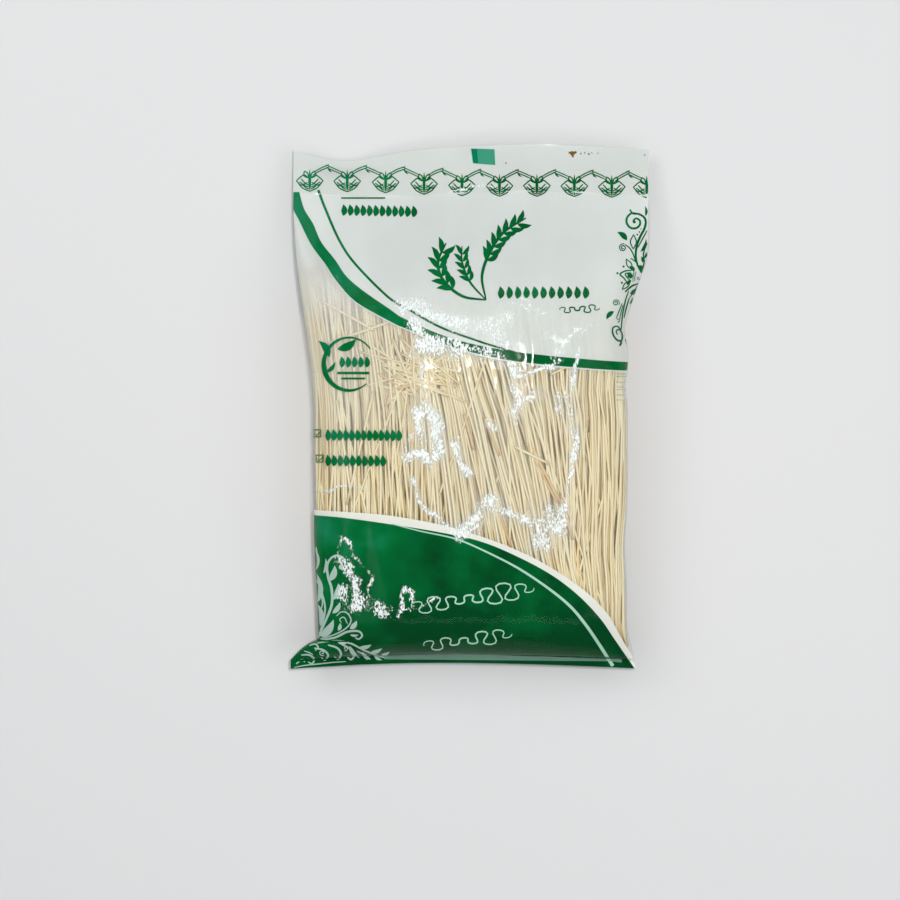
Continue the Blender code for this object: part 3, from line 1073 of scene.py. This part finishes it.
def wave_line(start, end, waves, height, width):
    """A flourish: a line that loops up and down as it goes, with tapered ends."""
    part = np.linspace(0, 1, 14 * waves)
    start, end = np.array(start, float), np.array(end, float)
    swing = np.stack([-0.55 * np.sin(4 * np.pi * waves * part), -np.sin(2 * np.pi * waves * part)], axis=1)
    uneven = (0.30 + 0.45 * np.sin(np.pi * part)) * (1.0 + 0.55 * np.sin(9.0 * part + 0.8))
    path = start + (end - start) * part[:, None] + swing * height * uneven[:, None]
    return strip(path, width * (0.4 + 0.6 * np.sin(np.pi * part) ** 0.5))


def bar(x0, x1, y, height):
    """A plain bar, level in the photograph."""
    return strip(np.linspace((x0, y), (x1, y), 3 + int((x1 - x0) / 2)), height)


def box_mark(x, y, size):
    """An empty square with a tick in it."""
    corners = [(x, y), (x + size, y), (x + size, y + size), (x, y + size), (x, y)]
    sides = [strip(np.linspace(a, b, 8), 1.0) for a, b in zip(corners, corners[1:])]
    tick = [(x + 1.2, y + size * 0.5), (x + size * 0.45, y + size - 1.6), (x + size + 0.6, y + 0.6)]
    return sides + [stroke(tick, 1.0)]


# %% Where the plain marks go
def plain_marks():
    """Strips of the sprig, the rows of grains, the round sign, the bars and the boxes, in pixels."""
    marks = ear([(486, 300), (462, 296), (443, 280), (438, 262), (446, 243)], 3.2, 6, 15)
    marks += ear([(486, 300), (482, 276), (490, 252), (504, 232), (526, 218)], 3.2, 7, 14)
    marks += ear([(486, 300), (470, 282), (462, 262), (462, 246)], 2.4, 5, 11)
    marks += grain_row((500, 292.5), (585, 292.5), 11, 12.5)
    marks += [wave_line((560, 310), (600, 308), 4, 4.2, 1.5)]
    marks += grain_row((343, 210), (413, 211.5), 12, 11.5) + [bar(341, 385, 198, 1.6)]
    ring = np.linspace(-0.6, -5.45, 40)
    width = np.interp(np.linspace(0, 1, 40), [0, 0.25, 0.6, 0.85, 1], [1.2, 2.2, 5.2, 3.0, 1.0])
    circle = np.stack([349 + 25.5 * np.cos(ring), 364 + 26.5 * np.sin(ring)], axis=1)
    marks += [strip(circle, width), leaf((337, 349), (356, 339), 8.0)]
    marks += [leaf((329, 357), (318.5, 341), 7.0), leaf((326, 372), (335, 362), 4.0)]
    marks += grain_row((341, 362), (366, 362), 5, 11) + [bar(337, 369, 373, 2.6), bar(341, 365, 378.5, 2.0)]
    marks += box_mark(313.5, 429.8, 7) + box_mark(316, 455, 7)
    marks += grain_row((327, 435), (398, 435.5), 13, 11.5) + grain_row((327, 460.5), (382, 461), 10, 11.5)
    return marks


# %% Green print and sensor mark
EYE_TOP = [(471, 148.6), (483, 148.8), (494.5, 149.2)]
EYE_BOTTOM = [(473, 163.2), (484, 164.2), (495.3, 165.0)]
DARK_TOP = [(471, 148.6), (474, 148.7), (477, 148.8)]
DARK_BOTTOM = [(473, 163.2), (475.5, 163.4), (478.2, 163.6)]

print_green = printed("green_print", [sweep, companion, *chain(), *scroll(), *plain_marks()], green)
eye_green = ink_material("eye_green", (0.05, 0.32, 0.20))
eye_dark = ink_material("eye_dark", (0.0, 0.20, 0.10))
print_eye = printed("eye_mark", [between(EYE_TOP, EYE_BOTTOM, across=9)], eye_green)
dark_part = [between(DARK_TOP, DARK_BOTTOM, across=9)]
print_eye_dark = printed("eye_mark_dark", dark_part, eye_dark, depth=OVER_INK)

# %% [markdown]
# ## The white scroll in the lower left corner
# Feathered leaves climb the left edge and run along the bottom seal, and the corner is full of
# curling lines.

# %% Corner scroll
# Strokes are a path and a width, and leaves a base, a tip and a width, in pixels.
CORNER_STROKES = [
    ([(318, 638), (326, 619.5), (331.6, 604.5), (331.6, 589.6), (328, 577), (327, 566), (330.6, 558.5),
        (337, 555.4), (343.5, 557.6)], 2.6),
    ([(318, 638), (322, 625), (325, 609.5), (322.3, 594.6), (316.4, 579.7)], 1.8),
    ([(318.6, 639.4), (334.8, 634.4), (345.9, 628.2), (350.9, 620.7), (347.2, 613.2), (341, 612),
        (336.4, 616)], 1.4),
    ([(347.5, 624), (344, 617.4), (339.6, 619.2), (341.4, 622.8)], 1.1),
    ([(317.3, 640.5), (334.8, 637.5), (347.2, 631.8), (358.4, 631.3), (362.1, 635.6), (358.4, 639.2),
        (355.3, 637.6)], 2.2),
    ([(316.7, 643.1), (334.8, 640.8), (349.7, 643.1), (364.6, 650.5), (379.5, 656.4),
        (387.6, 657.6)], 1.8),
    ([(337.2, 598.3), (341, 597.4), (343.8, 600.2)], 2.0), ([(318, 560), (316.6, 552), (316, 547)], 1.6),
    ([(318.6, 600), (320.4, 588), (317.6, 576)], 1.3), ([(320, 612), (322.4, 603), (320.6, 592)], 1.3),
    ([(341, 644), (350, 649), (354, 655), (351, 659.5), (347, 657)], 2.2),
    ([(328, 645), (337, 648), (341, 654), (338, 659), (334, 656.5)], 2.2),
    ([(314, 648), (323, 650), (328, 655), (325, 660), (321, 657.5)], 2.0),
    ([(301, 655), (309, 655), (314, 659), (312, 663.5), (308, 662)], 1.8),
    ([(309, 645.5), (315, 644), (318, 647.5), (315, 650.5)], 1.6),
    ([(296, 664), (301, 660), (305, 662)], 1.6),
    ([(294, 667.5), (304, 665.5), (318, 664), (332, 662.5), (346, 661.5)], 1.2),
    ([(357, 651), (364, 655), (367, 660)], 1.5), ([(304, 651), (309, 652.5), (313, 655)], 1.2),
]
CORNER_LEAVES = [
    ((323.4, 573.4), (325.4, 558.5), 3.4), ((329.2, 580.9), (334.6, 565.5), 6.4),
    ((333.5, 599.6), (338.2, 583.4), 6.0), ((332.3, 613.2), (339.9, 602), 4.8),
    ((319.2, 636.9), (333.5, 619.5), 7.8), ((337.9, 630.6), (339.9, 623), 3.6),
    ((349.7, 628.8), (356.5, 620.7), 5.0), ((359.6, 647), (371.4, 644.6), 3.8),
    ((370.8, 652), (382, 648.4), 3.8), ((380.8, 655), (389.4, 651.8), 3.2),
    ((362.1, 652), (371, 659.4), 3.6), ((349.7, 646), (359.6, 658), 4.2),
    ((337.2, 641.6), (349, 641), 4.2), ((317.4, 603), (316.6, 574), 5.0), ((320, 626), (317.4, 604), 5.0),
    ((316.2, 570), (315, 549), 2.8), ((374, 655), (382, 660), 2.8), ((350, 634.6), (358.5, 634.8), 2.4),
]


def corner_scroll():
    """Strips of the corner's scroll, in pixels."""
    marks = [stroke(points, width, thin=0.5) for points, width in CORNER_STROKES]
    marks += [leaf(base, tip, width) for base, tip, width in CORNER_LEAVES]
    marks += [spiral((322, 652.8), 3.0, 1.0, 1.2, 1.1), spiral((345.5, 648.5), 2.4, 2.0, -1.1, 1.0)]
    return marks + [dot((341.4, 567), 2.7)]


silver = ink_material("silver_ink", (0.50, 0.66, 0.58), cover=0.85, mottle=0.06)
print_silver = printed("corner_scroll", corner_scroll(), silver, depth=OVER_INK)
flourish = [wave_line((412, 608), (534, 588), 7, 10.5, 1.7), wave_line((424, 646), (512, 634), 5, 8.0, 1.6)]
print_mint = printed("mint_print", [mint_line, *flourish], mint, depth=OVER_INK)

# %% [markdown]
# ## A painted highlight, short pale lines and a stain
# A pale band along the bottom seal is a painted highlight, where the folded seal catches the light,
# and short lines of the same pale ink lie at the right edge. The brown specks on the top seal are
# round dots.

# %% Painted seal highlight and pale lines
teal = ink_material("pale_teal_ink", (0.34, 0.56, 0.46), cover=0.45, mottle=0.10)
# The band along the bottom seal is a painted highlight.
SEAL_HIGHLIGHT = [(384, 657.5), (440, 657), (520, 657.5), (600, 659), (622, 661)]
SIDE_LINES = (374, 376.5, 382, 387, 389.5, 395, 400)
highlight_width = 6.0 * np.sin(np.linspace(0.25, np.pi - 0.2, 120)) ** 0.4
seal_highlight = strip(smooth_path(SEAL_HIGHLIGHT, 120), highlight_width)
side_lines = [strip([(616.5, y), (620, y), (624, y), (627.5, y)], 0.9) for y in SIDE_LINES]
print_teal = printed("seal_highlight_and_side_lines", [seal_highlight, *side_lines], teal, depth=OVER_INK)

# %% Stain on the top seal
# Each dot: its middle and radius, in pixels.
STAIN_DOTS = [
    ((572.5, 153.4), 2.3), ((575.6, 152.4), 1.3), ((569.8, 152.6), 1.1), ((573.0, 156.4), 1.0),
    ((581, 153.6), 0.8), ((585, 152.8), 0.7), ((589, 154.0), 0.9), ((592, 153.0), 0.6),
    ((598, 153.2), 0.6), ((506, 163), 0.7), ((645, 155), 0.7),
]
brown = ink_material("stain_brown", (0.20, 0.095, 0.02))
stain = printed("stain", [dot(*one) for one in STAIN_DOTS], brown)

# %% [markdown]
# ## Noodles
# Each stick is a straight round rod, drawn as a six-sided tube that bends only as much as the bag
# does. Sticks lie at several depths, lean by the way the handful settled, and end raggedly. Under the
# outer layers a plain core closes the view.

# %% Sticks
STICK_DIAMETER = 0.0014
STICK_STEPS = 16
STICK_SIDES = 6
LAYER_STEP = 0.0009
BUNDLE_TOP = 0.0705
BUNDLE_BOTTOM = 0.2405
LEFT_RISE = 0.0075
TOP_SPREAD = 0.0036
BOTTOM_SPREAD = 0.004
SHORT_SHARE = 0.22
STRAY_SHARE = 0.08
STRAY_SLOPE = 0.42
SLOPE_SPREAD = 0.055
BROWN_SHARE = 0.018
GIRTH_SPREAD = 0.0010
CUT_SHARES = (0.1, 0.7)
SWING_SPREAD = 0.0006
UNDER_FILM = 0.0005
DEPTH_SPREAD = 0.0009
DEEPEST_DIP = 0.003


# %% Girth of the filled bag
def girth_table():
    """Angle round the filled section for each share of its girth, from the right edge over the front."""
    turn = np.linspace(0, 2 * np.pi, 1441)
    ring = skin(np.cos(turn), 0.15, turn <= np.pi)
    run = np.concatenate([[0.0], np.cumsum(np.linalg.norm(np.diff(ring, axis=0), axis=1))])
    return turn, run


TURN_TABLE, GIRTH_TABLE = girth_table()
GIRTH = GIRTH_TABLE[-1]
print("girth of the filled bag, in mm:", round(GIRTH * 1000, 1))


def inside(girth, place, depth):
    """Points a depth inside the film, by girth round the bag and place along it. Past the start of
    the left ear they keep to the filled width, because the ear itself is flat and empty."""
    turn = np.interp(np.mod(girth, GIRTH), GIRTH_TABLE, TURN_TABLE)
    points = skin(np.cos(turn), place, turn <= np.pi, inset=depth)
    wall = depth + STICK_DIAMETER - (LEFT_FILLED - LEFT_NARROWING)
    near_ear = eased(LEFT_EAR_START - 0.006, LEFT_EAR_START, place)
    kept = np.maximum(points[..., 0], wall)
    points[..., 0] = points[..., 0] * (1.0 - near_ear) + kept * near_ear
    return points + SHIFT


# %% Round rods
def tubes(paths, radius):
    """Round rods along paths: rings of points at right angles to each path, with both ends closed."""
    ahead = np.gradient(paths, axis=1)
    ahead = ahead / np.linalg.norm(ahead, axis=2, keepdims=True)
    # No stick runs along this direction, so each has a right angle to it.
    one = np.cross(ahead, np.array([0.12, 0.05, 0.99]))
    one = one / np.linalg.norm(one, axis=2, keepdims=True)
    other = np.cross(ahead, one)
    angle = np.arange(STICK_SIDES) * 2 * np.pi / STICK_SIDES
    size = np.broadcast_to(radius, paths.shape[:1])[:, None, None, None]
    rings = paths[:, :, None, :] + size * (
        np.cos(angle)[:, None] * one[:, :, None, :] + np.sin(angle)[:, None] * other[:, :, None, :])
    count, steps = paths.shape[:2]
    shape = (count, steps - 1, STICK_SIDES)
    stick, step, corner = np.indices(shape)
    base = (stick * steps + step) * STICK_SIDES
    near, after = base + corner, base + (corner + 1) % STICK_SIDES
    walls = np.stack([near, after, after + STICK_SIDES, near + STICK_SIDES], axis=-1)
    start = (np.arange(count) * steps * STICK_SIDES)[:, None]
    end = start + (steps - 1) * STICK_SIDES
    caps = [start + (3, 2, 1, 0), start + (5, 4, 3, 0), end + (0, 1, 2, 3), end + (0, 3, 4, 5)]
    return rings.reshape(-1, 3), np.concatenate([walls.reshape(-1, 4), *caps])


# %% How the sticks lie
def lean(across, place):
    """How far sticks drift to the right for each metre towards the bottom seal."""
    middle = 0.30 * np.exp(-(((across - 0.016) / 0.026) ** 2))
    return middle + 0.10 * hills(across, place, 0.02, 0.06, 11)


def lay_sticks(count, girth_range, layers, seed):
    """Paths of sticks in layers under the film, each with its own lean, ends, depth and slant."""
    draw = np.random.default_rng(seed)
    layer = np.arange(count) % layers
    girth = np.linspace(*girth_range, count) + draw.normal(0, GIRTH_SPREAD, count)
    turn = np.interp(np.mod(girth, GIRTH), GIRTH_TABLE, TURN_TABLE)
    across = np.cos(turn) * LEFT_FILLED
    over = turn <= np.pi
    top = BUNDLE_TOP - LEFT_RISE * (1.0 - eased(-0.062, -0.022, across)) + draw.normal(0, TOP_SPREAD, count)
    bottom = BUNDLE_BOTTOM - np.abs(draw.normal(0, BOTTOM_SPREAD, count))
    short = draw.random(count) < SHORT_SHARE
    cut = draw.uniform(*CUT_SHARES, count) * (bottom - top)
    upper = draw.random(count) < 0.5
    bottom = np.where(short & upper, bottom - cut, bottom)
    top = np.where(short & ~upper, top + cut, top)
    slope = np.where(over, lean(across, (top + bottom) / 2), 0.06 * hills(across, top, 0.02, 0.05, 12))
    slope = slope + draw.normal(0, SLOPE_SPREAD, count)
    stray = draw.random(count) < STRAY_SHARE
    slope = np.where(stray, draw.uniform(-STRAY_SLOPE, STRAY_SLOPE, count), slope)
    part = np.linspace(0, 1, STICK_STEPS)[None, :]
    place = top[:, None] * (1 - part) + bottom[:, None] * part
    drift = (place - ((top + bottom) / 2)[:, None]) * slope[:, None]
    swing = draw.normal(0, SWING_SPREAD, (count, 1))
    drift = drift + swing * np.sin(np.pi * part * 2 + draw.uniform(0, 6, (count, 1)))
    shallow = STICK_DIAMETER / 2 + UNDER_FILM
    depth = shallow + layer[:, None] * LAYER_STEP + draw.uniform(0, DEPTH_SPREAD, (count, 1))
    dip = np.abs(part - draw.uniform(0, 1, (count, 1))) * draw.uniform(0, DEEPEST_DIP, (count, 1))
    depth = depth + dip
    # Going over the front, more girth is further left, so a drift to the right takes girth away.
    way = np.where(over, -1.0, 1.0)[:, None]
    return inside(girth[:, None] + way * drift, place, depth), draw


# %% Noodle material
def noodle_material():
    """Dry rice noodle: cream, with some sticks darker or browner by their tone, and satin."""
    material, tree = new_material("dry_noodle")
    tone = add(tree, "Attribute", {}, out="Fac", attribute_name="tone")
    stops = [(0.0, (0.72, 0.48, 0.24)), (1.0, (0.93, 0.87, 0.68)), (0.45, (0.885, 0.77, 0.495))]
    base = colour_ramp(tree, tone, stops)
    # Seen slantwise, a stick is painted a deeper yellow: painted shade that stands for light that has
    # gone further through it.
    facing = add(tree, "LayerWeight", {"Blend": 0.5}, out="Facing")
    mixed = {0: facing, 6: base, 7: (0.78, 0.62, 0.38, 1.0)}
    painted_deeper = add(tree, "Mix", mixed, out=2, data_type="RGBA", blend_type="MULTIPLY")
    return surfaced(material, add(tree, "BsdfPrincipled", {"Base Color": painted_deeper, "Roughness": 0.42}))


noodle = noodle_material()


# %% Pieces made of sticks
def stick_piece(name, count, girth_range, layers, seed):
    """One object of many sticks, each with its own tone."""
    paths, draw = lay_sticks(count, girth_range, layers, seed)
    radius = STICK_DIAMETER / 2 * draw.uniform(0.88, 1.08, count)
    points, faces = tubes(paths, radius)
    piece = new_object(name, points, faces)
    tone = np.clip(draw.normal(0.62, 0.14, count), 0.2, 1.0)
    tone = np.where(draw.random(count) < BROWN_SHARE, 0.08, tone)
    set_attribute(piece, "tone", np.repeat(tone, STICK_STEPS * STICK_SIDES))
    piece.data.materials.append(noodle)
    return piece


def broken_sticks(name, ends, depths, tones, radii):
    """One object of short sticks, each from one pixel to another at its own depth under the film."""
    ends, depths = np.array(ends, float), np.array(depths, float)
    part = np.linspace(0, 1, 6)[None, :, None]
    pixels = ends[:, None, :2] * (1 - part) + ends[:, None, 2:] * part
    side, place = from_photo(pixels)
    steps = side.shape[1]
    paths = skin(side, place, True, inset=np.broadcast_to(depths[:, None], side.shape)) + SHIFT
    points, faces = tubes(paths, np.array(radii, float))
    piece = new_object(name, points, faces)
    set_attribute(piece, "tone", np.repeat(tones, steps * STICK_SIDES))
    piece.data.materials.append(noodle)
    return piece


def tangle(count, middle, spread, seed):
    """Ends, depths, tones and radii of short sticks that lie across each other round a pixel."""
    draw = np.random.default_rng(seed)
    centre = np.array(middle) + draw.uniform(-1, 1, (count, 2)) * np.array(spread)
    angle = draw.normal(0.55, 0.55, count) * draw.choice([-1, 1], count, p=[0.3, 0.7])
    reach = draw.uniform(14, 40, count)[:, None] * np.stack([np.cos(angle), np.sin(angle)], axis=1)
    depths = draw.uniform(0.0010, 0.0028, count)
    tones = np.clip(draw.normal(0.52, 0.18, count), 0.12, 1.0)
    radii = STICK_DIAMETER / 2 * draw.uniform(0.72, 0.98, count)
    return np.concatenate([centre - reach, centre + reach], axis=1), depths, tones, radii


# %% Lay the sticks
# Each row: from x, y to x, y in pixels, depth in metres, tone, and radius in metres.
LOOSE = [
    (516, 447, 550, 464, 0.0010, 0.75, 0.0007), (552, 375, 570, 366, 0.0012, 0.45, 0.0006),
    (529, 446, 562, 508, 0.0018, 0.10, 0.0007), (531, 443, 565, 506, 0.0020, 0.16, 0.0008),
    (534, 447, 561, 502, 0.0016, 0.20, 0.0006), (500, 512, 512, 548, 0.0016, 0.02, 0.0007),
    (564, 498, 575, 540, 0.0017, 0.12, 0.0008), (562, 506, 569, 536, 0.0015, 0.22, 0.0006),
    (485, 418, 500, 456, 0.0016, 0.12, 0.0007), (464, 414, 474, 450, 0.0016, 0.18, 0.0007),
    (318, 300, 372, 330, 0.0011, 0.7, 0.0007), (322, 345, 388, 322, 0.0012, 0.6, 0.0007),
    (335, 400, 350, 500, 0.0010, 0.7, 0.0007), (372, 392, 345, 505, 0.0010, 0.65, 0.0007),
]

front_girth = float(np.interp(np.pi, TURN_TABLE, GIRTH_TABLE))
front_sticks = stick_piece("front_sticks", 760, (-0.004, front_girth + 0.004), 8, 21)
back_sticks = stick_piece("back_sticks", 300, (front_girth + 0.002, GIRTH - 0.002), 3, 22)

loose = np.array(LOOSE)
loose_sticks = broken_sticks("loose_sticks", loose[:, :4], loose[:, 4], loose[:, 5], loose[:, 6])
tangled_sticks = broken_sticks("tangled_sticks", *tangle(52, (413, 374), (26, 17), 23))

# %% [markdown]
# ## The core
# Between the outer sticks one sees into the bundle. A closed loft under them, in the colour of
# shaded noodles, ends that view with far fewer faces than more sticks would need.

# %% Core
CORE_INSET = 0.0085


def make_core():
    """A closed loft inside the sticks, ending short of both ends of the bundle."""
    turn = np.linspace(0, 2 * np.pi, 121)[:-1][None, :]
    place = np.linspace(BUNDLE_TOP + 0.004, BUNDLE_BOTTOM - 0.006, 60)[:, None]
    points = skin(np.cos(turn), place, turn <= np.pi, inset=CORE_INSET) + SHIFT
    core = new_object("core", points.reshape(-1, 3), film_faces(60, 120)[:, ::-1])
    close_ends(core)
    # The core's colour is painted shade: the colour of noodles in shade.
    plain = {"Base Color": (0.66, 0.47, 0.25, 1.0), "Roughness": 0.8}
    core.data.materials.append(plain_material("core_painted_shade", "BsdfPrincipled", plain))
    return core


core = make_core()

# %% [markdown]
# ## Hand over
# Every piece rides on the one body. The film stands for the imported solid.

# %% Hand over
SLOTS = {
    film: "clear_film", veil_and_glare: "clear_film", milky: "white_print", seal_field: "white_print",
    lower: "green_print", pale_band: "white_print",
    back_milky: "white_print", back_green: "green_print", back_print: "green_print",
    back_ghost: "green_print", back_pale: "white_print",
    print_green: "green_print", print_eye: "green_print", print_eye_dark: "green_print",
    print_mint: "white_print", print_silver: "white_print", print_teal: "white_print",
    stain: "white_print",
    front_sticks: "dry_noodle", back_sticks: "dry_noodle", core: "dry_noodle",
    loose_sticks: "dry_noodle", tangled_sticks: "dry_noodle",
}
for piece, slot in SLOTS.items():
    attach(piece, "root")
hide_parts("noodle_bag")
